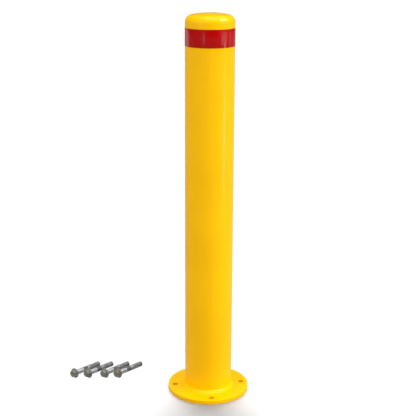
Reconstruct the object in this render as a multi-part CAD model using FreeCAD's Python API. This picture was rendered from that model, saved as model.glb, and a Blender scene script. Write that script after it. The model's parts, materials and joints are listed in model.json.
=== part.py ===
import FreeCAD, Part
import math
import os

# Fixed bolt-down bollard: a round steel post welded on a round base plate, with the four sleeve anchors that
# hold it down lying loose on the ground beside it.
# Millimetres, +Z up. The origin is the centre of the base plate's underside, at ground level. Two of the
# anchor holes lie on the X axis and two on the Y axis.

Vector = FreeCAD.Vector

# Post: a cold-formed round hollow section
post_height = 1127.0  # ground to the crown of the cap
tube_diameter = 139.7  # outside
tube_wall = 5.0

# Domed cap, pressed from plate and flush with the tube
cap_wall = 4.0
cap_skirt = 25.0  # straight length under the shoulder
cap_shoulder_radius = 22.0
cap_crown_radius = 300.0

# Butt weld between tube and cap, ground flush
seam_root_face = 1.0  # unbevelled wall left at the root
seam_bevel = 30.0  # degrees, on each edge

# Base plate
plate_diameter = 242.0
plate_thickness = 12.0
plate_top_round = 1.5
plate_bottom_chamfer = 0.6
bolt_circle_diameter = 200.0
plate_hole_count = 4
plate_hole_clearance = 1.0  # all round the anchor's sleeve
drain_hole_diameter = 50.0

# Fillet weld round the foot of the tube
foot_weld_leg = 7.5
foot_weld_bulge = 0.5  # height of the convex face over its chord

# Reflective tape
tape_width = 50.0
tape_thickness = 0.4
tape_drop = 40.0  # from the crown down to the tape's upper edge
tape_lap = 25.0  # length of the second layer, at the back

# Sleeve anchor: lengths are measured from the underside of the bolt's flange
anchor_count = 4
bolt_diameter = 11.9
thread_pitch = 1.75
thread_depth = 1.07
thread_start = 62.0
bolt_length = 108.0
bolt_end_chamfer = 1.5
flange_diameter = 31.0
flange_rim = 1.6
flange_rise = 2.0  # cone from the rim up to the hexagon
hexagon_width = 19.0  # across flats
head_height = 12.5
head_chamfer_angle = 25.0
sleeve_diameter = 16.0
sleeve_clearance = 0.3  # round the bolt's shank
flange_clearance = 0.2  # end play between the flange and the spacer sleeve
spacer_end = 34.0
crush_ring_length = 18.0
crush_ring_recess = 0.2  # the ring is this much thinner than the sleeves, all round
expansion_end = 96.0
slot_count = 4
slot_width = 1.8
slot_length = 34.0
nut_length = 22.0
nut_end = 106.0
nut_small_diameter = 13.4
nut_large_diameter = 15.8
nut_end_band = 2.5  # cylindrical stretch behind the cone
nut_end_chamfer = 0.8
nut_clearance = 0.2  # between the cone and the sleeve's mouth
thread_clearance = 0.05  # round the bolt in the nut

# Where the anchors lie
nearest_anchor_gap = 151.7  # from the plate's edge to the first anchor's flange, along X
anchor_row_setback = 83.4  # the same flange, along Y
anchor_row_offsets = (0.0, 41.2, 92.9, 135.0)  # from the first flange to each, along the row
anchor_row_heading = 174.7  # degrees from +X
anchor_heading = 46.8  # degrees from +X, from the head to the tip
anchor_rolls = (4.0, -3.0, 0.0, -5.0)  # degrees that each hexagon is turned about its own axis

tube_radius = tube_diameter / 2
cap_shoulder_inset = tube_radius - cap_shoulder_radius
cap_centre_drop = math.sqrt((cap_crown_radius - cap_shoulder_radius) ** 2 - cap_shoulder_inset ** 2)
cap_shoulder_z = post_height - cap_crown_radius + cap_centre_drop
seam_z = cap_shoulder_z - cap_skirt
seam_depth = min(tube_wall, cap_wall) - seam_root_face
seam_half_width = seam_depth * math.tan(math.radians(seam_bevel))
plate_hole_diameter = sleeve_diameter + 2 * plate_hole_clearance
bolt_radius = bolt_diameter / 2
sleeve_radius = sleeve_diameter / 2
sleeve_bore_radius = bolt_radius + sleeve_clearance
nut_start = nut_end - nut_length
nut_cone_end = nut_end - nut_end_band - nut_end_chamfer
nut_cone_slope = (nut_large_diameter - nut_small_diameter) / 2 / (nut_cone_end - nut_start)
anchor_tilt = math.atan2((flange_diameter - nut_large_diameter) / 2, nut_cone_end + nut_end_band)


def line(start, end):
    return Part.makeLine(Vector(start[0], 0, start[1]), Vector(end[0], 0, end[1]))


def on_circle(centre, radius, angle):
    return (centre[0] + radius * math.cos(angle), centre[1] + radius * math.sin(angle))


def arc(centre, radius, start_angle, end_angle):
    corners = []
    for angle in (start_angle, (start_angle + end_angle) / 2, end_angle):
        x, z = on_circle(centre, radius, angle)
        corners.append(Vector(x, 0, z))
    return Part.Arc(*corners).toShape()


def spin(edges):
    face = Part.Face(Part.Wire(edges))
    return face.revolve(Vector(0, 0, 0), Vector(0, 0, 1), 360)


def spin_outline(points):
    edges = []
    for start, end in zip(points, points[1:] + points[:1]):
        edges.append(line(start, end))
    return spin(edges)


# Tube from the plate's upper face to the seam, its top edge bevelled for the butt weld
def post_tube():
    inner_radius = tube_radius - tube_wall
    return spin_outline([
        (inner_radius, plate_thickness),
        (tube_radius, plate_thickness),
        (tube_radius, seam_z - seam_half_width),
        (tube_radius - seam_depth, seam_z),
        (inner_radius, seam_z),
    ])


# Dished cap: straight skirt, small shoulder radius and a large crown radius, each tangent to the next
def top_cap():
    shoulder_centre = (cap_shoulder_inset, cap_shoulder_z)
    crown_centre = (0, cap_shoulder_z - cap_centre_drop)
    turn = math.atan2(cap_centre_drop, cap_shoulder_inset)
    inner_radius = tube_radius - cap_wall
    inner_shoulder = cap_shoulder_radius - cap_wall
    inner_crown = cap_crown_radius - cap_wall
    upright = math.pi / 2
    return spin([
        line((inner_radius, seam_z), (tube_radius - seam_depth, seam_z)),
        line((tube_radius - seam_depth, seam_z), (tube_radius, seam_z + seam_half_width)),
        line((tube_radius, seam_z + seam_half_width), (tube_radius, cap_shoulder_z)),
        arc(shoulder_centre, cap_shoulder_radius, 0, turn),
        arc(crown_centre, cap_crown_radius, turn, upright),
        line((0, post_height), (0, post_height - cap_wall)),
        arc(crown_centre, inner_crown, upright, turn),
        arc(shoulder_centre, inner_shoulder, turn, 0),
        line((inner_radius, cap_shoulder_z), (inner_radius, seam_z)),
    ])


# Weld metal in the groove between the two bevels
def cap_weld():
    return spin_outline([
        (tube_radius - seam_depth, seam_z),
        (tube_radius, seam_z - seam_half_width),
        (tube_radius, seam_z + seam_half_width),
    ])


# Round plate with the anchor holes on their circle and a drain hole under the tube
def base_plate():
    plate = Part.makeCylinder(plate_diameter / 2, plate_thickness)
    rims = sorted(plate.Edges, key=lambda edge: edge.BoundBox.ZMin)
    rims = [edge for edge in rims if edge.BoundBox.ZLength < 1e-6]
    plate = plate.makeFillet(plate_top_round, [rims[-1]])
    rims = [edge for edge in plate.Edges if edge.BoundBox.ZMax < 1e-6]
    plate = plate.makeChamfer(plate_bottom_chamfer, rims)
    plate = plate.cut(Part.makeCylinder(drain_hole_diameter / 2, plate_thickness))
    for number in range(plate_hole_count):
        angle = 2 * math.pi * number / plate_hole_count
        x, y = on_circle((0, 0), bolt_circle_diameter / 2, angle)
        hole = Part.makeCylinder(plate_hole_diameter / 2, plate_thickness, Vector(x, y, 0))
        plate = plate.cut(hole)
    return plate


# Fillet weld with a slightly convex face, in the corner between tube and plate
def base_weld():
    toe = (tube_radius + foot_weld_leg, plate_thickness)
    top = (tube_radius, plate_thickness + foot_weld_leg)
    outward = foot_weld_bulge / math.sqrt(2)
    middle = (tube_radius + foot_weld_leg / 2 + outward, plate_thickness + foot_weld_leg / 2 + outward)
    face_points = [Vector(x, 0, z) for x, z in (toe, middle, top)]
    return spin([
        line((tube_radius, plate_thickness), toe),
        Part.Arc(*face_points).toShape(),
        line(top, (tube_radius, plate_thickness)),
    ])


# One turn of tape with its end lapped over its start at the back, +Y
def reflective_band():
    top_z = post_height - tape_drop
    lower_z = top_z - tape_width
    outer_radius = tube_radius + tape_thickness
    layer = spin_outline([
        (tube_radius, lower_z),
        (outer_radius, lower_z),
        (outer_radius, top_z),
        (tube_radius, top_z),
    ])
    lap_outline = Part.Wire([
        line((tube_radius, lower_z), (outer_radius + tape_thickness, lower_z)),
        line((outer_radius + tape_thickness, lower_z), (outer_radius + tape_thickness, top_z)),
        line((outer_radius + tape_thickness, top_z), (tube_radius, top_z)),
        line((tube_radius, top_z), (tube_radius, lower_z)),
    ])
    lap_angle = math.degrees(tape_lap / outer_radius)
    lap = Part.Face(lap_outline).revolve(Vector(0, 0, 0), Vector(0, 0, 1), lap_angle)
    lap.rotate(Vector(0, 0, 0), Vector(0, 0, 1), 90 - lap_angle / 2)
    return layer.fuse(lap).removeSplitter()


# The anchor's pieces are made upright, with the flange's underside at z = 0 and the tip upwards

# The screw thread's groove: a right-handed sweep that runs out past the shank's end
def thread_groove():
    turns_start = thread_start
    turns_height = bolt_length + thread_pitch - turns_start
    helix = Part.makeHelix(thread_pitch, turns_height, bolt_radius)
    helix.translate(Vector(0, 0, turns_start))
    root_half = thread_pitch / 8
    outside = 0.3
    flank_half = (thread_pitch - thread_pitch / 8) / 2
    section = Part.makePolygon([
        Vector(bolt_radius - thread_depth, 0, turns_start - root_half),
        Vector(bolt_radius + outside, 0, turns_start - flank_half),
        Vector(bolt_radius + outside, 0, turns_start + flank_half),
        Vector(bolt_radius - thread_depth, 0, turns_start + root_half),
        Vector(bolt_radius - thread_depth, 0, turns_start - root_half),
    ])
    return Part.Wire(helix).makePipeShell([section], True, True)


# Hexagon head with its corners chamfered, on a flange that slopes down to a thin rim
def bolt_head():
    flange_radius = flange_diameter / 2
    flange_top = flange_rim + flange_rise
    corner_radius = hexagon_width / math.sqrt(3)
    flange = spin_outline([
        (0, 0),
        (flange_radius, 0),
        (flange_radius, -flange_rim),
        (corner_radius, -flange_top),
        (0, -flange_top),
    ])
    corners = []
    for number in range(7):
        x, y = on_circle((0, 0), corner_radius, number * math.pi / 3)
        corners.append(Vector(x, y, -head_height))
    hexagon = Part.Face(Part.makePolygon(corners)).extrude(Vector(0, 0, head_height - flange_rim))
    chamfer_drop = (corner_radius - hexagon_width / 2) * math.tan(math.radians(head_chamfer_angle))
    chamfer_cone = spin_outline([
        (0, 0),
        (corner_radius + 1, 0),
        (corner_radius + 1, -head_height + chamfer_drop * (corner_radius + 1 - hexagon_width / 2)
         / (corner_radius - hexagon_width / 2)),
        (hexagon_width / 2, -head_height),
        (0, -head_height),
    ])
    return flange.fuse(hexagon.common(chamfer_cone))


# Hexagon flange bolt: plain shank, then a thread up to the chamfered end
def anchor_bolt():
    shank = spin_outline([
        (0, 0),
        (bolt_radius, 0),
        (bolt_radius, bolt_length - bolt_end_chamfer),
        (bolt_radius - bolt_end_chamfer, bolt_length),
        (0, bolt_length),
    ])
    shank = shank.cut(thread_groove())
    return bolt_head().fuse(shank).Solids[0]


# Plain steel tube that fills the thickness of the plate
def spacer_sleeve():
    return spin_outline([
        (sleeve_bore_radius, flange_clearance),
        (sleeve_radius, flange_clearance),
        (sleeve_radius, spacer_end),
        (sleeve_bore_radius, spacer_end),
    ])


# Soft ring that gives way when the bolt pulls the plate down
def crush_ring():
    ring_radius = sleeve_radius - crush_ring_recess
    ring_end = spacer_end + crush_ring_length
    return spin_outline([
        (sleeve_bore_radius, spacer_end),
        (ring_radius, spacer_end),
        (ring_radius, ring_end),
        (sleeve_bore_radius, ring_end),
    ])


# Slotted sleeve whose mouth is opened by the cone nut
def expansion_sleeve():
    sleeve_start = spacer_end + crush_ring_length
    mouth_radius = nut_small_diameter / 2 + nut_cone_slope * (expansion_end - nut_start) + nut_clearance
    mouth_start = expansion_end - (mouth_radius - sleeve_bore_radius) / nut_cone_slope
    sleeve = spin_outline([
        (sleeve_bore_radius, sleeve_start),
        (sleeve_radius, sleeve_start),
        (sleeve_radius, expansion_end),
        (mouth_radius, expansion_end),
        (sleeve_bore_radius, mouth_start),
    ])
    slot_end = expansion_end - slot_length
    for number in range(slot_count):
        slot = Part.makeBox(sleeve_radius + 1, slot_width, slot_length + 1, Vector(0, -slot_width / 2, slot_end))
        slot_round = Part.makeCylinder(
            slot_width / 2, sleeve_radius + 1, Vector(0, 0, slot_end), Vector(1, 0, 0))
        slot = slot.fuse(slot_round)
        slot.rotate(Vector(0, 0, 0), Vector(0, 0, 1), 360 * (number + 0.5) / slot_count)
        sleeve = sleeve.cut(slot)
    return sleeve


# Cone nut on the bolt's end, its small end inside the sleeve's mouth
def cone_nut():
    bore_radius = bolt_radius + thread_clearance
    large_radius = nut_large_diameter / 2
    return spin_outline([
        (bore_radius, nut_start),
        (nut_small_diameter / 2, nut_start),
        (large_radius, nut_cone_end),
        (large_radius, nut_end - nut_end_chamfer),
        (large_radius - nut_end_chamfer, nut_end),
        (bore_radius, nut_end),
    ])


# The middle of one anchor's flange underside, where it lies on the ground on its flange and its nut
def anchor_seat(number):
    heading = math.radians(anchor_row_heading)
    offset = anchor_row_offsets[number]
    x = -(plate_diameter / 2 + nearest_anchor_gap) + offset * math.cos(heading)
    y = anchor_row_setback + offset * math.sin(heading)
    return Vector(x, y, flange_diameter / 2 * math.cos(anchor_tilt))


# The way an anchor points, from its head to its tip
def anchor_direction():
    heading = math.radians(anchor_heading)
    level = math.cos(anchor_tilt)
    return Vector(level * math.cos(heading), level * math.sin(heading), -math.sin(anchor_tilt))


def lay_down(piece, number):
    roll = FreeCAD.Rotation(Vector(0, 0, 1), anchor_rolls[number])
    turn = FreeCAD.Rotation(Vector(0, 0, 1), anchor_heading)
    tip_over = FreeCAD.Rotation(Vector(0, 1, 0), 90 + math.degrees(anchor_tilt))
    laid = piece.copy()
    laid.Placement = FreeCAD.Placement(anchor_seat(number), turn * tip_over * roll)
    return laid


def save(name, shape):
    shape.exportStep("parts/" + name + ".step")


os.makedirs("parts", exist_ok=True)
save("post_tube", post_tube())
save("top_cap", top_cap())
save("cap_weld", cap_weld())
save("base_plate", base_plate())
save("base_weld", base_weld())
save("reflective_band", reflective_band())

anchor_pieces = {
    "bolt": anchor_bolt(),
    "spacer_sleeve": spacer_sleeve(),
    "crush_ring": crush_ring(),
    "expansion_sleeve": expansion_sleeve(),
    "cone_nut": cone_nut(),
}
for number in range(anchor_count):
    for piece_name, piece in anchor_pieces.items():
        save(f"anchor_{number + 1}_{piece_name}", lay_down(piece, number))
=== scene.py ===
import json
import math
import bpy
from mathutils import Matrix, Vector

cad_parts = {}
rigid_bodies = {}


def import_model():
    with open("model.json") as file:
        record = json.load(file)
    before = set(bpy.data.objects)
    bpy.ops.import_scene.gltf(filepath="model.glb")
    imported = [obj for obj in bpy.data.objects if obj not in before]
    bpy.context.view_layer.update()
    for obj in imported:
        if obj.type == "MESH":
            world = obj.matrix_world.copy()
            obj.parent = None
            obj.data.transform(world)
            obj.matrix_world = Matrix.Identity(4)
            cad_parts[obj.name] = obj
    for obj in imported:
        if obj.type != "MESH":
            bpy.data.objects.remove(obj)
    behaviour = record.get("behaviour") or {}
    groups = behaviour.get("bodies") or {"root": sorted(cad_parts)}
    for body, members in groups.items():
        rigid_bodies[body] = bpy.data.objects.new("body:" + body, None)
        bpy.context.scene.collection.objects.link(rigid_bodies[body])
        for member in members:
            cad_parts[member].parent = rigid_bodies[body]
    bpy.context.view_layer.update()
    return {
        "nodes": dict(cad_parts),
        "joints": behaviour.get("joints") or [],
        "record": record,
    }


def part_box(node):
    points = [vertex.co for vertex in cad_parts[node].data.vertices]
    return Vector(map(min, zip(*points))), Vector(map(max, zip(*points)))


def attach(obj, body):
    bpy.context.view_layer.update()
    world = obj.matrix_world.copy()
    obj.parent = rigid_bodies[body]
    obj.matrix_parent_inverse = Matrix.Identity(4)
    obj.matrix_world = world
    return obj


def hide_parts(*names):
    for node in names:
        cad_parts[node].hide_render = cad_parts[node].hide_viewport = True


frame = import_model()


# Base plate: a disc cut from 12 mm steel plate, its rims rounded, drilled for four anchors and for a drain
# under the post. It is powder coated in traffic yellow together with everything that is welded to it, so
# the coat softens the lips of the holes.
class Shade:
    """An output of a shader node that can be used in arithmetic."""

    def __init__(self, finish, socket):
        self.finish = finish
        self.socket = socket

    def maths(self, operation, first, second):
        return self.finish.node("ShaderNodeMath", {"operation": operation}, {0: first, 1: second})

    def __add__(self, other):
        return self.maths("ADD", self, other)

    def __radd__(self, other):
        return self.maths("ADD", other, self)

    def __sub__(self, other):
        return self.maths("SUBTRACT", self, other)

    def __rsub__(self, other):
        return self.maths("SUBTRACT", other, self)

    def __mul__(self, other):
        return self.maths("MULTIPLY", self, other)

    def __rmul__(self, other):
        return self.maths("MULTIPLY", other, self)


class Finish:
    """A material made node by node on Blender's principled surface."""

    def __init__(self, name, **surface):
        self.material = bpy.data.materials.new(name)
        self.material.use_nodes = True
        self.tree = self.material.node_tree
        self.surface = self.tree.nodes["Principled BSDF"]
        for socket, value in surface.items():
            self.set(socket.replace("_", " ").title().replace("Ior", "IOR"), value)

    def link(self, target, value):
        if isinstance(value, Shade):
            self.tree.links.new(value.socket, target)
        else:
            target.default_value = value

    def set(self, socket, value):
        self.link(self.surface.inputs[socket], value)

    def node(self, kind, settings=None, sockets=None, output=0):
        made = self.tree.nodes.new(kind)
        for key, value in (settings or {}).items():
            setattr(made, key, value)
        for key, value in (sockets or {}).items():
            self.link(made.inputs[key], value)
        return Shade(self, made.outputs[output])

    def place(self):
        return self.node("ShaderNodeTexCoord", output="Object")

    def noise(self, size, detail=2.0, roughness=0.5, place=None):
        """Noise from 0 to 1 whose features are about size across, in metres."""
        sockets = {
            "Vector": place or self.place(), "Scale": 1 / size, "Detail": detail, "Roughness": roughness}
        return self.node("ShaderNodeTexNoise", sockets=sockets)

    def smooth_step(self, value, low, high):
        settings = {"interpolation_type": "SMOOTHSTEP", "clamp": True}
        sockets = {"Value": value, "From Min": low, "From Max": high}
        return self.node("ShaderNodeMapRange", settings, sockets)

    def mix(self, factor, first, second):
        sockets = {0: factor, 6: first, 7: second}
        return self.node("ShaderNodeMix", {"data_type": "RGBA"}, sockets, output=2)

    def bump(self, height, depth, strength=1.0, below=None):
        """Bump for a height from 0 to 1 that stands depth proud, in metres."""
        sockets = {"Height": height, "Distance": depth, "Strength": strength}
        if below is not None:
            sockets["Normal"] = below
        return self.node("ShaderNodeBump", sockets=sockets)


mm = 0.001


def powder_coat():
    """A glossy coat with a faint orange peel on a slow swell, a little paler in broad clouds."""
    coat = Finish("yellow_powder_coat", ior=1.3)
    cloud = coat.noise(160 * mm, detail=3)
    speck = coat.noise(1.1 * mm, detail=1)
    peel = coat.noise(3.4 * mm, roughness=0.45)
    swell = coat.noise(45 * mm, detail=1)
    deep = (0.91, 0.476, 0.0, 1)
    pale = (0.95, 0.506, 0.0, 1)
    coat.set("Base Color", coat.mix(coat.smooth_step(cloud, 0.35, 0.65), deep, pale))
    coat.set("Roughness", 0.15 + 0.05 * speck + 0.04 * cloud)
    flow = coat.bump(swell, 0.6 * mm, 0.35)
    coat.set("Normal", coat.bump(peel, 0.05 * mm, 0.8, below=flow))
    return coat.material


def deselect():
    bpy.ops.object.select_all(action="DESELECT")


def only(piece):
    deselect()
    piece.select_set(True)
    bpy.context.view_layer.objects.active = piece


def settle(piece):
    """Puts a piece's object at the origin, unturned and unscaled, with its place in its mesh."""
    only(piece)
    bpy.ops.object.transform_apply(location=True, rotation=True, scale=True)


def bend(centre, radius, start, end, steps):
    """Points (radius, height) along an arc of an outline. Angles are in degrees from the level."""
    points = []
    for step in range(steps + 1):
        angle = math.radians(start + (end - start) * step / steps)
        points.append((centre[0] + radius * math.cos(angle), centre[1] + radius * math.sin(angle)))
    return points


merge_gap = 0.001 * mm


def turned(name, outline, steps, closed=True, sweep=360.0):
    """An outline of (radius, height) points spun round the upright axis. An open one ends on it."""
    deselect()
    bpy.ops.mesh.primitive_plane_add(size=mm, location=(outline[0][0], 0, outline[0][1]))
    piece = bpy.context.object
    piece.name = name
    bpy.ops.object.mode_set(mode="EDIT")
    bpy.ops.mesh.select_mode(type="VERT")
    bpy.ops.mesh.merge(type="CENTER")
    ends = outline[1:] + (outline[:1] if closed else [])
    for before, after in zip(outline, ends):
        step = (after[0] - before[0], 0, after[1] - before[1])
        bpy.ops.mesh.extrude_region_move(TRANSFORM_OT_translate={"value": step})
    bpy.ops.mesh.select_all(action="SELECT")
    bpy.ops.mesh.remove_doubles(threshold=merge_gap)
    if sweep < 360:
        bpy.ops.mesh.select_all(action="SELECT")
        bpy.ops.mesh.edge_face_add()
    bpy.ops.mesh.spin(steps=steps, angle=math.radians(sweep), center=(0, 0, 0), axis=(0, 0, 1))
    bpy.ops.mesh.select_all(action="SELECT")
    bpy.ops.mesh.remove_doubles(threshold=merge_gap)
    bpy.ops.mesh.normals_make_consistent(inside=False)
    bpy.ops.object.mode_set(mode="OBJECT")
    settle(piece)
    return piece


def apply_modifier(piece, kind, **settings):
    only(piece)
    modifier = piece.modifiers.new(kind.lower(), kind)
    for key, value in settings.items():
        setattr(modifier, key, value)
    bpy.ops.object.modifier_apply(modifier=modifier.name)


def cut(piece, tool, operation="DIFFERENCE"):
    apply_modifier(piece, "BOOLEAN", object=tool, operation=operation, solver="EXACT")
    bpy.data.objects.remove(tool)


def smooth(piece, angle=32):
    only(piece)
    bpy.ops.object.shade_smooth_by_angle(angle=math.radians(angle))


def finish_as(piece, material, body, node):
    """Gives a piece its material and its body, and lets it stand for its CAD node."""
    piece.data.materials.clear()
    piece.data.materials.append(material)
    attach(piece, body)
    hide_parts(node)


yellow = powder_coat()
plate_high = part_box("base_plate")[1]
plate_radius = plate_high.x
plate_top = plate_high.z
hole_pattern = frame["record"]["mounts"][0]["dims"]
hole_circle_radius = hole_pattern["pcd_mm"] / 2 * mm
hole_radius = hole_pattern["hole_r_mm"] * mm
drain_radius = 25 * mm
edge_round = 1.5 * mm
foot_round = 0.6 * mm
lip_round = 0.9 * mm
support = 0.3 * mm  # a narrow flat ring beside each rounding, which keeps the wide faces flat in the shading

plate_outline = [
    (drain_radius, lip_round),
    (drain_radius, plate_top - lip_round),
    *bend((drain_radius + lip_round, plate_top - lip_round), lip_round, 180, 90, 5),
    (drain_radius + lip_round + support, plate_top),
    (plate_radius - edge_round - support, plate_top),
    *bend((plate_radius - edge_round, plate_top - edge_round), edge_round, 90, 0, 8),
    *bend((plate_radius - foot_round, foot_round), foot_round, 0, -90, 4),
    (plate_radius - foot_round - support, 0),
    (drain_radius + lip_round + support, 0),
    *bend((drain_radius + lip_round, lip_round), lip_round, 270, 180, 5),
]
plate = turned("painted_base_plate", plate_outline, 192)

drill_reach = 5 * mm
drill_turn = math.radians(1.7)  # keeps the drill's corners off the spokes of the plate
flare_lift = 0.03 * mm
flare = bend((hole_radius + lip_round, plate_top - lip_round + flare_lift), lip_round, 180, 95, 6)
drill_outline = [
    (0, -drill_reach),
    (hole_radius, -drill_reach),
    *flare,
    (flare[-1][0], plate_top + drill_reach),
    (0, plate_top + drill_reach),
]
for number in range(hole_pattern["count"]):
    angle = number * 2 * math.pi / hole_pattern["count"]
    drill = turned("drill", drill_outline, 64, closed=False)
    drill.location = (hole_circle_radius * math.cos(angle), hole_circle_radius * math.sin(angle), 0)
    drill.rotation_euler.z = angle + drill_turn
    cut(plate, drill)
smooth(plate, 40)
apply_modifier(plate, "WEIGHTED_NORMAL", mode="FACE_AREA", weight=80, keep_sharp=True)
finish_as(plate, yellow, "bollard", "base_plate")


# Post: 139.7 mm round hollow section with a 5 mm wall, cut square at the foot. The outer corner of its top
# is bevelled to take the weld that holds the cap.
tube_low, tube_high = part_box("post_tube")
tube_radius = tube_high.x
tube_wall = 5 * mm
seam_height = tube_high.z
groove_depth = 3 * mm
groove_half = groove_depth * math.tan(math.radians(30))
tube_outline = [
    (tube_radius - tube_wall, tube_low.z),
    (tube_radius, tube_low.z),
    (tube_radius, seam_height - groove_half),
    (tube_radius - groove_depth, seam_height),
    (tube_radius - tube_wall, seam_height),
]
tube = turned("painted_tube", tube_outline, 256)
smooth(tube)
finish_as(tube, yellow, "bollard", "post_tube")


# Foot weld: one run of weld metal all round the corner between post and plate. Its ripples are still
# faintly there under the coat, which rounds both toes.
weld_leg = 7.5 * mm
weld_toe = 1.2 * mm
toe_knee = 0.3 * weld_toe
toe_height = 0.16 * mm
root_depth = 0.5 * mm
foot_depth = 0.2 * mm
bead_rise = 0.5 * mm
bead_chord = math.sqrt(2) * weld_leg
bead_radius = bead_chord ** 2 / 8 / bead_rise + bead_rise / 2
bead_half_angle = 0.92 * math.degrees(math.asin(bead_chord / 2 / bead_radius))
bead_inset = (bead_radius - bead_rise) / math.sqrt(2)
bead_centre = (tube_radius + weld_leg / 2 - bead_inset, plate_top + weld_leg / 2 - bead_inset)
weld_outline = [
    (tube_radius - root_depth, plate_top - foot_depth),
    (tube_radius + weld_leg + weld_toe, plate_top - foot_depth),
    (tube_radius + weld_leg + weld_toe, plate_top),
    (tube_radius + weld_leg + toe_knee, plate_top + toe_height),
    *bend(bead_centre, bead_radius, 45 - bead_half_angle, 45 + bead_half_angle, 10),
    (tube_radius + toe_height, plate_top + weld_leg + toe_knee),
    (tube_radius, plate_top + weld_leg + weld_toe),
    (tube_radius - root_depth, plate_top + weld_leg + weld_toe),
]
weld = turned("painted_foot_weld", weld_outline, 720)

ripple_pitch = 3.2 * mm
ripple_depth = 0.12 * mm
ripple_lag = 2.2  # how far a ripple's two ends trail behind its middle, as an angle of its wave
ripple_count = round(2 * math.pi * (tube_radius + weld_leg / 2) / ripple_pitch)
bare_skin = 0.1 * mm  # the ripples leave the faces that lie this close to the post and the plate alone
for corner in weld.data.vertices:
    out = math.hypot(corner.co.x, corner.co.y)
    if out > tube_radius + bare_skin and corner.co.z > plate_top + bare_skin:
        across = ((out - tube_radius) - (corner.co.z - plate_top)) / weld_leg
        cover = max(0, 1 - across ** 2)
        turn = math.atan2(corner.co.y, corner.co.x)
        ripple = math.sin(turn * ripple_count + ripple_lag * across ** 2)
        wander = 0.35 * math.sin(3 * turn + 1) + 0.25 * math.sin(11 * turn)
        sink = ripple_depth * cover * (0.5 + 0.5 * ripple + 0.5 * wander)
        corner.co.x -= sink * corner.co.x / out
        corner.co.y -= sink * corner.co.y / out
        corner.co.z -= sink
smooth(weld, 60)
finish_as(weld, yellow, "bollard", "base_weld")


# Cap: a dished end pressed from 4 mm sheet, with a straight skirt, a small shoulder radius and a large
# crown radius. It is butt welded to the post and the weld is ground flush, so the weld only gets the paint.
cap_wall = 4 * mm
shoulder_radius = 22 * mm
crown_radius = 300 * mm
crown_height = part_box("top_cap")[1].z
shoulder_inset = tube_radius - shoulder_radius
centre_drop = math.sqrt((crown_radius - shoulder_radius) ** 2 - shoulder_inset ** 2)
crown_centre = (0, crown_height - crown_radius)
shoulder_centre = (shoulder_inset, crown_centre[1] + centre_drop)
shoulder_turn = math.degrees(math.atan2(centre_drop, shoulder_inset))
cap_outline = [
    *bend(crown_centre, crown_radius - cap_wall, 90, shoulder_turn, 16),
    *bend(shoulder_centre, shoulder_radius - cap_wall, shoulder_turn, 0, 20)[1:],
    (tube_radius - cap_wall, seam_height),
    (tube_radius - groove_depth, seam_height),
    (tube_radius, seam_height + groove_half),
    *bend(shoulder_centre, shoulder_radius, 0, shoulder_turn, 28),
    *bend(crown_centre, crown_radius, shoulder_turn, 90, 24)[1:],
]
cap = turned("painted_cap", cap_outline, 256, closed=False)
smooth(cap)
finish_as(cap, yellow, "bollard", "top_cap")
frame["nodes"]["cap_weld"].data.materials.clear()
frame["nodes"]["cap_weld"].data.materials.append(yellow)


# Tape: red retroreflective film 50 mm wide, wound once round the post over the cap's weld, its end lapped
# over its start at the back. Glass beads lie under a clear glossy face, which is a little wavy where it was
# pulled on.
def reflective_film():
    film = Finish("red_reflective_film", ior=1.35)
    place = film.place()
    bead_size = 0.6 * mm
    beads = film.node("ShaderNodeTexVoronoi", {"feature": "F1"}, {"Vector": place, "Scale": 1 / bead_size})
    # A painted glint: the bead centres, which the base colour below turns a brighter red.
    painted_bead_glint = film.smooth_step(beads, 0.30, 0.08)
    stretch = film.node("ShaderNodeMapping", sockets={"Vector": place, "Scale": (1, 1, 0.08)})
    pull = film.noise(20 * mm, place=stretch)
    dark = (0.385, 0.0006, 0.0008, 1)
    bright = (0.50, 0.002, 0.003, 1)
    # The base colour is a brighter red at the bead centres, a painted glint, and a lighter red along the
    # upright streaks that follow the waves of the face.
    film.set("Base Color", film.mix(painted_bead_glint * 0.6 + 0.3 * pull, dark, bright))
    film.set("Roughness", 0.13 + 0.05 * pull)
    film.set("Normal", film.bump(pull, 0.5 * mm, 0.45, below=film.bump(beads, 0.03 * mm, 0.15)))
    return film.material


tape_low, tape_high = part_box("reflective_band")
tape_thickness = 0.4 * mm
tape_outer = tube_radius + tape_thickness
tape_edge = 0.12 * mm
lap_length = 25 * mm
lap_sink = 0.1 * mm


def tape_layer(name, inner, outer, **spin):
    outline = [
        (inner, tape_low.z),
        *bend((outer - tape_edge, tape_low.z + tape_edge), tape_edge, -90, 0, 3),
        *bend((outer - tape_edge, tape_high.z - tape_edge), tape_edge, 0, 90, 3),
        (inner, tape_high.z),
    ]
    return turned(name, outline, **spin)


tape = tape_layer("red_reflective_tape", tube_radius, tape_outer, steps=256)
lap_sweep = math.degrees(lap_length / tape_outer)
lap = tape_layer("tape_lap", tape_outer - lap_sink, tape_outer + tape_thickness, steps=24, sweep=lap_sweep)
only(lap)
bpy.ops.transform.rotate(
    value=-math.radians(90 - lap_sweep / 2), orient_axis="Z", center_override=(0, 0, 0))
settle(lap)
tape.select_set(True)
bpy.context.view_layer.objects.active = tape
bpy.ops.object.join()
smooth(tape, 35)
finish_as(tape, reflective_film(), "bollard", "reflective_band")


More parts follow.
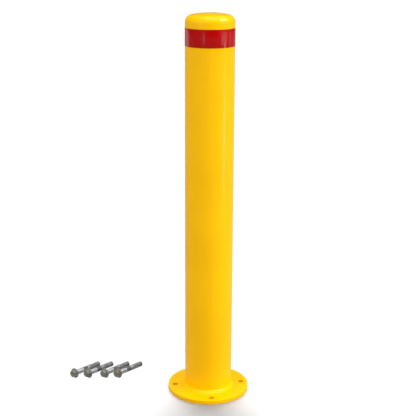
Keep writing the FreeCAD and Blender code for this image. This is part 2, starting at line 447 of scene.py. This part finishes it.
# Anchor bolts: M12 hexagon flange bolts, cold headed and rolled, zinc plated with an olive passivation.
# Each is modelled upright with the underside of its flange at the origin and its tip above, then laid where
# its joint is.
def plated_steel(name, dark, pale, roughness, grain):
    """Zinc on steel: a cloudy tone, a fine spangle, and lines whose size is grain."""
    zinc = Finish(name, metallic=1.0)
    cloud = zinc.noise(9 * mm, detail=4, roughness=0.6)
    lines = zinc.noise(grain, detail=3)
    spangle = zinc.noise(0.9 * mm)
    tone = zinc.smooth_step(cloud * 0.65 + lines * 0.35, 0.34, 0.66)
    zinc.set("Base Color", zinc.mix(tone, dark, pale))
    zinc.set("Roughness", roughness + 0.16 * (spangle - 0.5) + 0.12 * (cloud - 0.5))
    zinc.set("Normal", zinc.bump(lines, 0.03 * mm, 0.6, below=zinc.bump(spangle, 0.04 * mm, 0.5)))
    return zinc.material


def copy_of(piece, name):
    twin = piece.copy()
    twin.data = piece.data.copy()
    twin.name = name
    bpy.context.collection.objects.link(twin)
    return twin


anchor_rolls = (4, -3, 0, -5)
anchor_places = []
for number, roll in enumerate(anchor_rolls, 1):
    joint = next(joint for joint in frame["joints"] if joint["name"] == f"anchor_{number}_bolt_turn")
    way = Vector(joint["axis"])
    heading = Matrix.Rotation(math.atan2(way.y, way.x), 4, "Z")
    tip_over = Matrix.Rotation(math.pi / 2 + math.asin(-way.z), 4, "Y")
    turn = Matrix.Rotation(math.radians(roll), 4, "Z")
    anchor_places.append(Matrix.Translation(joint["pos_m"]) @ heading @ tip_over @ turn)


def lay_anchors(master, piece_name, node_name, body_name, material):
    """Copies a piece of the anchor to each of the four places, and takes its master away."""
    for number, place in enumerate(anchor_places, 1):
        anchor = f"anchor_{number}_"
        piece = copy_of(master, anchor + piece_name)
        piece.matrix_world = place
        settle(piece)
        finish_as(piece, material, anchor + body_name, anchor + node_name)
    bpy.data.objects.remove(master)


hexagon_width = 19 * mm
hexagon_corner = hexagon_width / math.sqrt(3)
hexagon_edge = 0.35 * mm
head_height = 12.5 * mm
flange_radius = 15.5 * mm
flange_rim = 1.6 * mm
flange_top = 3.6 * mm
bolt_radius = 5.95 * mm
bolt_length = 108 * mm
bolt_end = 1.5 * mm

deselect()
bpy.ops.mesh.primitive_cylinder_add(
    vertices=6, radius=hexagon_corner, depth=head_height - flange_rim,
    location=(0, 0, -(head_height + flange_rim) / 2), rotation=(0, 0, math.radians(30)))
hexagon = bpy.context.object
settle(hexagon)
apply_modifier(hexagon, "BEVEL", width=hexagon_edge, segments=3)

chamfer_slope = math.tan(math.radians(25))
chamfer_radius = hexagon_corner + mm
chamfer_outline = [
    (0, 0),
    (chamfer_radius, 0),
    (chamfer_radius, -head_height + chamfer_slope * (chamfer_radius - hexagon_width / 2)),
    (hexagon_width / 2 - 0.3 * mm, -head_height + 0.02 * mm),
    (hexagon_width / 2 - 1.2 * mm, -head_height - 0.1 * mm),
    (0, -head_height - 0.1 * mm),
]
cut(hexagon, turned("chamfer", chamfer_outline, 96, closed=False), "INTERSECT")

dish_depth = 0.7 * mm
dish_radius = 7 * mm
dish_floor = 6 * mm
dish_outline = [
    (0, -head_height - mm),
    (dish_radius, -head_height - mm),
    (dish_radius, -head_height),
    (dish_floor, -head_height + dish_depth),
    (0, -head_height + dish_depth),
]
cut(hexagon, turned("dish", dish_outline, 64, closed=False))
smooth(hexagon, 25)

rim_round = 0.6 * mm
face_round = 0.3 * mm
flange_outline = [
    (0, 0),
    (bolt_radius + mm, 0),
    (flange_radius - 2 * mm, 0),
    *bend((flange_radius - face_round, -face_round), face_round, 90, 0, 3),
    *bend((flange_radius - rim_round, -flange_rim + rim_round), rim_round, 0, -75, 5),
    (hexagon_corner + 0.6 * mm, -flange_top + 0.25 * mm),
    (hexagon_corner - 0.4 * mm, -flange_top),
    (0, -flange_top),
]
flange = turned("flange", flange_outline, 96, closed=False)
smooth(flange, 30)

thread_start = 62 * mm
thread_pitch = 1.75 * mm
thread_depth = 1.07 * mm
tip_chamfer = 0.4 * mm
shank_outline = [
    (0, -mm),
    (bolt_radius, -mm),
    (bolt_radius, thread_start - mm),
    (bolt_radius - thread_depth, thread_start + mm),
    (bolt_radius - thread_depth, bolt_length - tip_chamfer),
    (bolt_radius - thread_depth - tip_chamfer, bolt_length),
    (0, bolt_length),
]
shank = turned("shank", shank_outline, 64, closed=False)
smooth(shank, 30)

deselect()
bpy.ops.mesh.primitive_circle_add(vertices=4, radius=mm, rotation=(math.pi / 2, 0, 0))
thread = bpy.context.object
settle(thread)
crest = bolt_radius - 0.02 * mm
root = bolt_radius - thread_depth - 0.05 * mm
crest_half = 0.10  # half the width of the ridge at its crest and at its root, as a share of half the pitch
root_half = 0.82
ridge = [(root, root_half), (crest, crest_half), (crest, -crest_half), (root, -root_half)]
for corner, (out, along) in zip(thread.data.vertices, ridge):
    corner.co = (out, 0, thread_start + thread_pitch / 2 * (1 + along))
thread_turns = int((bolt_length - bolt_end - thread_start) / thread_pitch)
apply_modifier(
    thread, "SCREW", angle=2 * math.pi, screw_offset=thread_pitch, iterations=thread_turns, steps=40,
    render_steps=40, axis="Z", use_merge_vertices=False)
only(thread)
bpy.ops.object.mode_set(mode="EDIT")
bpy.ops.mesh.select_all(action="SELECT")
bpy.ops.mesh.fill_holes(sides=0)
bpy.ops.mesh.select_all(action="SELECT")
bpy.ops.mesh.normals_make_consistent(inside=False)
bpy.ops.object.mode_set(mode="OBJECT")
smooth(thread, 30)

only(hexagon)
for piece in (flange, shank, thread):
    piece.select_set(True)
bpy.ops.object.join()
olive_zinc = plated_steel("olive_zinc_plate", (0.36, 0.36, 0.30, 1), (0.58, 0.58, 0.52, 1), 0.52, 1.6 * mm)
lay_anchors(hexagon, "flange_bolt", "bolt", "bolt", olive_zinc)


# Spacer sleeves: steel strip rolled to a tube round each bolt, with an open seam along it, and bright zinc
# plated. Each stands in a hole of the base plate and in the top of the hole drilled below it.
sleeve_radius = 8 * mm
sleeve_bore = 6.25 * mm
spacer_start = 0.2 * mm
spacer_end = 34 * mm
sleeve_round = 0.3 * mm
seam_width = 0.6 * mm
seam_turn = math.radians(100)
saw_reach = 5 * mm


def sleeve_outline(start, end, outer):
    return [
        (sleeve_bore, start),
        *bend((outer - sleeve_round, start + sleeve_round), sleeve_round, -90, 0, 3),
        *bend((outer - sleeve_round, end - sleeve_round), sleeve_round, 0, 90, 3),
        (sleeve_bore, end),
    ]


def saw(piece, width, start, end, turn):
    """Cuts a slot with round ends through the wall on one side, from start to end along the axis."""
    deselect()
    bpy.ops.mesh.primitive_cube_add(size=1, location=(sleeve_radius, 0, (start + end) / 2))
    blade = bpy.context.object
    blade.scale = (2 * sleeve_radius, width, end - start)
    settle(blade)
    bpy.ops.object.mode_set(mode="EDIT")
    bpy.ops.mesh.select_mode(type="EDGE")
    bpy.ops.mesh.select_all(action="DESELECT")
    bpy.ops.object.mode_set(mode="OBJECT")
    for edge in blade.data.edges:
        a, b = (blade.data.vertices[index].co for index in edge.vertices)
        runs_through_wall = abs(a.y - b.y) < width / 100 and abs(a.z - b.z) < width / 100
        edge.select = runs_through_wall
    bpy.ops.object.mode_set(mode="EDIT")
    bpy.ops.mesh.bevel(offset=width * 0.49, segments=6)
    bpy.ops.object.mode_set(mode="OBJECT")
    blade.matrix_world = Matrix.Rotation(turn, 4, "Z")
    cut(piece, blade)


spacer = turned("spacer", sleeve_outline(spacer_start, spacer_end, sleeve_radius), 96)
saw(spacer, seam_width, spacer_start - saw_reach, spacer_end + saw_reach, seam_turn)
smooth(spacer, 30)
bright_zinc = plated_steel("bright_zinc_plate", (0.60, 0.61, 0.62, 1), (0.84, 0.85, 0.87, 1), 0.26, 0.8 * mm)
lay_anchors(spacer, "upper_sleeve", "spacer_sleeve", "sleeves", bright_zinc)


# Crush rings: moulded dark plastic tubes between the two sleeves, a little slimmer than they are, which
# give way when the bolt pulls the plate down.
def dark_plastic():
    plastic = Finish("dark_moulded_plastic", ior=1.46)
    grain = plastic.noise(0.7 * mm, detail=3)
    cloud = plastic.noise(6 * mm)
    plastic.set("Base Color", plastic.mix(cloud, (0.045, 0.046, 0.048, 1), (0.085, 0.086, 0.088, 1)))
    plastic.set("Roughness", 0.36 + 0.12 * grain)
    plastic.set("Normal", plastic.bump(grain, 0.04 * mm, 0.5))
    return plastic.material


ring_end = 52 * mm
ring_recess = 0.2 * mm
ring = turned("ring", sleeve_outline(spacer_end, ring_end, sleeve_radius - ring_recess), 96)
smooth(ring, 30)
lay_anchors(ring, "plastic_ring", "crush_ring", "sleeves", dark_plastic())


# Expansion sleeves: thicker rolled strip with four slots sawn from the mouth, zinc plated and duller than
# the spacer. The mouth has the taper of the cone nut, with room for the cone when it is drawn right in.
expansion_end = 96 * mm
slot_width = 1.8 * mm
slot_length = 34 * mm
slot_count = 4
nut_start = 84 * mm
nut_small = 6.7 * mm
nut_large = 7.9 * mm
nut_cone_end = 102.7 * mm
cone_slope = (nut_large - nut_small) / (nut_cone_end - nut_start)
mouth_radius = nut_large + 0.04 * mm
mouth_start = expansion_end - (mouth_radius - sleeve_bore) / cone_slope
mouth_round = 0.04 * mm
mouth_outline = [
    (sleeve_bore, ring_end),
    *bend((sleeve_radius - sleeve_round, ring_end + sleeve_round), sleeve_round, -90, 0, 3),
    *bend((sleeve_radius - mouth_round, expansion_end - mouth_round), mouth_round, 0, 90, 3),
    (mouth_radius, expansion_end),
    (sleeve_bore, mouth_start),
]
expansion = turned("expansion", mouth_outline, 96)
for number in range(slot_count):
    turn = 2 * math.pi * (number + 0.5) / slot_count
    saw(expansion, slot_width, expansion_end - slot_length, expansion_end + saw_reach, turn)
smooth(expansion, 30)
dull_zinc = plated_steel("dull_zinc_plate", (0.26, 0.27, 0.27, 1), (0.54, 0.55, 0.55, 1), 0.42, 1.2 * mm)
lay_anchors(expansion, "slotted_sleeve", "expansion_sleeve", "sleeves", dull_zinc)


# Cone nuts: turned and tapped steel on the tip of each bolt, their small end inside the sleeve's mouth. The
# outer edge of the large end is rounded so that it goes down the hole easily.
nut_bore = 6 * mm
nut_end = 106 * mm
nut_round = 1.4 * mm
bore_chamfer = 0.5 * mm
nut_outline = [
    (nut_bore, nut_start),
    (nut_small, nut_start),
    (nut_large, nut_cone_end),
    *bend((nut_large - nut_round, nut_end - nut_round), nut_round, 0, 90, 5),
    (nut_bore + bore_chamfer, nut_end),
    (nut_bore, nut_end - bore_chamfer),
]
nut = turned("nut", nut_outline, 96)
smooth(nut, 30)
grey_zinc = plated_steel("grey_zinc_plate", (0.16, 0.16, 0.16, 1), (0.34, 0.34, 0.34, 1), 0.38, 1.0 * mm)
lay_anchors(nut, "cone", "cone_nut", "nut", grey_zinc)


# Studio: a plain pale floor under a white sky that hardly lights anything. Broad soft lamps from overhead,
# both sides and behind light the pieces, and the floor and the anchors have soft lamps of their own. Panels
# show in the gloss of the paint and the tape, and give no other light.
camera_turn = math.radians(6)
towards_camera = Vector((-math.sin(camera_turn), -math.cos(camera_turn), 0))
camera_right = Vector((math.cos(camera_turn), -math.sin(camera_turn), 0))

deselect()
bpy.ops.mesh.primitive_plane_add(size=60, location=(0, 0, 0))
floor = bpy.context.object
floor.name = "floor"
ground = Finish("pale_floor", roughness=0.9, specular_ior_level=0.1)
seen = ground.node("ShaderNodeLightPath", output="Is Camera Ray")
ground.set("Base Color", ground.mix(seen, (0.27, 0.27, 0.27, 1), (0.86, 0.86, 0.86, 1)))
floor.data.materials.append(ground.material)


def lamp_from(name, kind, azimuth, elevation, distance=3.0, target_height=0.6):
    """A lamp seen from the post at an azimuth to the right of the camera and an elevation, in degrees."""
    lamp = bpy.data.objects.new(name, bpy.data.lights.new(name, kind))
    bpy.context.collection.objects.link(lamp)
    turn = math.radians(azimuth)
    rise = math.radians(elevation)
    level = towards_camera * math.cos(turn) + camera_right * math.sin(turn)
    way = level * math.cos(rise) + Vector((0, 0, math.sin(rise)))
    lamp.location = Vector((0, 0, target_height)) + way * distance
    lamp.rotation_euler = way.to_track_quat("Z", "Y").to_euler()
    return lamp


def shine(lamp, state, objects):
    """The lamp lights these objects and nothing else, or everything but these objects."""
    group = bpy.data.collections.new(lamp.name + "_" + state.lower())
    for piece in objects:
        group.objects.link(piece)
    for entry in group.collection_objects:
        entry.light_linking.link_state = state
    lamp.light_linking.receiver_collection = group


def broad_light(name, azimuth, elevation, strength, spread, state="EXCLUDE", objects=(floor,)):
    """An even soft light whose strength is the brightness it gives a white surface that faces it."""
    lamp = lamp_from(name, "SUN", azimuth, elevation)
    lamp.data.energy = strength * math.pi
    lamp.data.angle = math.radians(spread)
    lamp.visible_glossy = False
    shine(lamp, state, objects)
    return lamp


def gloss_panel(name, azimuth, elevation, distance, target_height, width, height, brightness,
                state="EXCLUDE", objects=(floor,)):
    """A panel that shows in gloss and gives no other light."""
    lamp = lamp_from(name, "AREA", azimuth, elevation, distance, target_height)
    lamp.data.shape = "RECTANGLE"
    lamp.data.size = width
    lamp.data.size_y = height
    lamp.data.energy = brightness * math.pi * width * height
    lamp.visible_diffuse = False
    shine(lamp, state, objects)


broad_light("overhead_light", 10, 78, 0.93, 70)
broad_light("left_light", -58, 8, 0.86, 80)
broad_light("right_light", 72, 9, 1.45, 60)
broad_light("rear_light", 180, 28, 0.5, 80)

post_pieces = bpy.data.collections.new("post_pieces")
for piece in (plate, tube, weld, cap, tape):
    post_pieces.objects.link(piece)
floor_light = broad_light("floor_light", 180, 35, 1.6, 60, "INCLUDE")
floor_light.light_linking.blocker_collection = post_pieces
floor_fill = broad_light("floor_fill", 0, 90, 0.28, 16, "INCLUDE")
floor_fill.data.use_shadow = False
floor_fill.data.color = (0.90, 0.98, 1.12)

anchor_pieces = [piece for piece in bpy.data.objects if piece.name.startswith("anchor_")]
anchor_sky = broad_light("anchor_sky", 0, 90, 0.7, 150, "INCLUDE", anchor_pieces)
anchor_sky.visible_glossy = True

gloss_panel("high_softbox", 84, 45, 2.4, 1.1, 0.75, 0.8, 30)
gloss_panel("strip_light", 71, 0, 1.6, 0.46, 0.12, 0.5, 9)
gloss_panel("overhead_panel", 10, 84, 1.8, 1.1, 1.1, 0.3, 9)
tape_panels = [(66, 0.8, 2.0), (-28, 0.14, 2.0), (103, 0.14, 2.0), (-124, 0.9, 0.8)]
for number, (azimuth, width, brightness) in enumerate(tape_panels):
    gloss_panel(f"tape_panel_{number}", azimuth, 0, 1.6, 0.89, width, 0.5, brightness, "INCLUDE", [tape])

sky = bpy.data.worlds.new("studio_sky")
bpy.context.scene.world = sky
sky.use_nodes = True
backdrop = sky.node_tree.nodes["Background"]
paths = sky.node_tree.nodes.new("ShaderNodeLightPath")
strength = sky.node_tree.nodes.new("ShaderNodeMapRange")
strength.inputs["To Min"].default_value = 0.05
strength.inputs["To Max"].default_value = 1.0
sky.node_tree.links.new(paths.outputs["Is Camera Ray"], strength.inputs["Value"])
sky.node_tree.links.new(strength.outputs["Result"], backdrop.inputs["Strength"])
backdrop.inputs["Color"].default_value = (1, 1, 1, 1)

lens = bpy.data.cameras.new("camera")
lens.sensor_width = 36
lens.lens = 82.87
camera = bpy.data.objects.new("camera", lens)
bpy.context.collection.objects.link(camera)
camera.location = (-0.2828, -2.6605, 1.3393)
pitch = math.radians(16.07)
looking = -towards_camera * math.cos(pitch) - Vector((0, 0, math.sin(pitch)))
upright = looking.to_track_quat("-Z", "Y").to_matrix().to_4x4()
lean = Matrix.Rotation(math.radians(0.31), 4, "Z")
camera.rotation_euler = (upright @ lean).to_euler()
bpy.context.scene.camera = camera
bpy.context.scene.view_settings.view_transform = "Standard"
